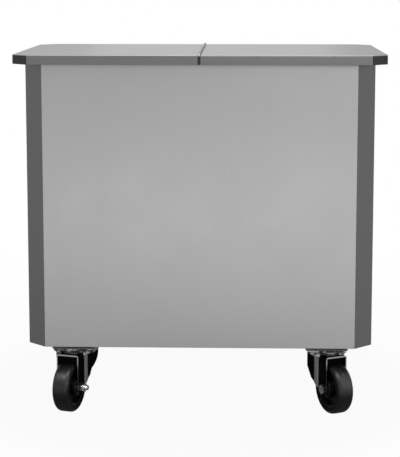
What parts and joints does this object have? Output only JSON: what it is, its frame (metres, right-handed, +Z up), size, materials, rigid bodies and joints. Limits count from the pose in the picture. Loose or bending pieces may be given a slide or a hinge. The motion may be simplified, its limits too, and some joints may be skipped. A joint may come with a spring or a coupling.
{
  "type": "rolling flour bin",
  "caption": "Sheet steel ingredient bin with slanted corners and a two-leaf lift-off hinged lid, on swivel casters.",
  "frame": {"origin": "on the floor, under the middle of the bin", "axes": "+Z up, -Y towards the front panel, +X to the right as seen from the front"},
  "size_m": [0.712, 0.454, 0.7093],
  "materials": {
    "body_steel": "satin brushed stainless sheet",
    "post_steel": "darker satin sheet",
    "lid_steel": "satin brushed stainless sheet",
    "edge_steel": "darker satin band",
    "corner_black": "black moulded plastic",
    "hinge_steel": "satin stainless",
    "rail_steel": "plain folded sheet",
    "zinc": "bright zinc plating",
    "bright_zinc": "bright zinc plating",
    "ball_steel": "polished steel",
    "wheel_black": "black moulded plastic",
    "tyre_rubber": "black rubber"
  },
  "bodies": {
    "bin": {"front_panel": "body_steel", "rear_panel": "body_steel", "left_panel": "body_steel", "right_panel": "body_steel", "front_left_post": "post_steel", "front_right_post": "post_steel", "rear_left_post": "post_steel", "rear_right_post": "post_steel", "floor_pan": "body_steel", "rim_frame": "body_steel", "left_base_rail": "rail_steel", "right_base_rail": "rail_steel", "caster_bolts": "zinc", "caster_nuts": "zinc", "front_left_top_plate": "zinc", "front_left_kingpin": "zinc", "front_right_top_plate": "zinc", "front_right_kingpin": "zinc", "rear_left_top_plate": "zinc", "rear_left_kingpin": "zinc", "rear_right_top_plate": "zinc", "rear_right_kingpin": "zinc"},
    "front_left_swivel": {"front_left_swivel_balls": "ball_steel", "front_left_fork": "zinc", "front_left_axle_bolt": "bright_zinc", "front_left_axle_nut": "bright_zinc", "front_left_axle_sleeve": "ball_steel"},
    "front_left_wheel": {"front_left_wheel_core": "wheel_black", "front_left_tyre": "tyre_rubber"},
    "front_right_swivel": {"front_right_swivel_balls": "ball_steel", "front_right_fork": "zinc", "front_right_axle_bolt": "bright_zinc", "front_right_axle_nut": "bright_zinc", "front_right_axle_sleeve": "ball_steel"},
    "front_right_wheel": {"front_right_wheel_core": "wheel_black", "front_right_tyre": "tyre_rubber"},
    "rear_left_swivel": {"rear_left_swivel_balls": "ball_steel", "rear_left_fork": "zinc", "rear_left_axle_bolt": "bright_zinc", "rear_left_axle_nut": "bright_zinc", "rear_left_axle_sleeve": "ball_steel"},
    "rear_left_wheel": {"rear_left_wheel_core": "wheel_black", "rear_left_tyre": "tyre_rubber"},
    "rear_right_swivel": {"rear_right_swivel_balls": "ball_steel", "rear_right_fork": "zinc", "rear_right_axle_bolt": "bright_zinc", "rear_right_axle_nut": "bright_zinc", "rear_right_axle_sleeve": "ball_steel"},
    "rear_right_wheel": {"rear_right_wheel_core": "wheel_black", "rear_right_tyre": "tyre_rubber"},
    "left_lid": {"left_lid_sheet": "lid_steel", "left_lid_edges": "edge_steel", "left_lid_corners": "corner_black", "left_hinge_leaf": "hinge_steel", "hinge_pin": "hinge_steel"},
    "right_lid": {"right_lid_sheet": "lid_steel", "right_lid_edges": "edge_steel", "right_lid_corners": "corner_black", "right_hinge_leaf": "hinge_steel"}
  },
  "joints": [
    {"name": "front_left_swivel_turn", "type": "hinge", "parent": "bin", "child": "front_left_swivel", "pos_m": [-0.248, -0.131, 0.12], "axis": [0, 0, 1], "continuous": true},
    {"name": "front_left_wheel_roll", "type": "hinge", "parent": "front_left_swivel", "child": "front_left_wheel", "pos_m": [-0.25853, -0.16543, 0.05], "axis": [0.9563, -0.2924, 0], "continuous": true},
    {"name": "front_right_swivel_turn", "type": "hinge", "parent": "bin", "child": "front_right_swivel", "pos_m": [0.248, -0.131, 0.12], "axis": [0, 0, 1], "continuous": true},
    {"name": "front_right_wheel_roll", "type": "hinge", "parent": "front_right_swivel", "child": "front_right_wheel", "pos_m": [0.26434, -0.16308, 0.05], "axis": [0.891, 0.454, 0], "continuous": true},
    {"name": "rear_left_swivel_turn", "type": "hinge", "parent": "bin", "child": "rear_left_swivel", "pos_m": [-0.248, 0.131, 0.12], "axis": [0, 0, 1], "continuous": true},
    {"name": "rear_left_wheel_roll", "type": "hinge", "parent": "rear_left_swivel", "child": "rear_left_wheel", "pos_m": [-0.27209, 0.10425, 0.05], "axis": [0.7431, -0.6691, 0], "continuous": true},
    {"name": "rear_right_swivel_turn", "type": "hinge", "parent": "bin", "child": "rear_right_swivel", "pos_m": [0.248, 0.131, 0.12], "axis": [0, 0, 1], "continuous": true},
    {"name": "rear_right_wheel_roll", "type": "hinge", "parent": "rear_right_swivel", "child": "rear_right_wheel", "pos_m": [0.25912, 0.09676, 0.05], "axis": [0.9511, 0.309, 0], "continuous": true},
    {"name": "lid_lift", "type": "slide", "parent": "bin", "child": "left_lid", "axis": [0, 0, 1], "range_m": [0, 0.3]},
    {"name": "lid_fold", "type": "hinge", "parent": "left_lid", "child": "right_lid", "pos_m": [0, 0, 0.7071], "axis": [0, -1, 0], "range_deg": [0, 180]}
  ]
}
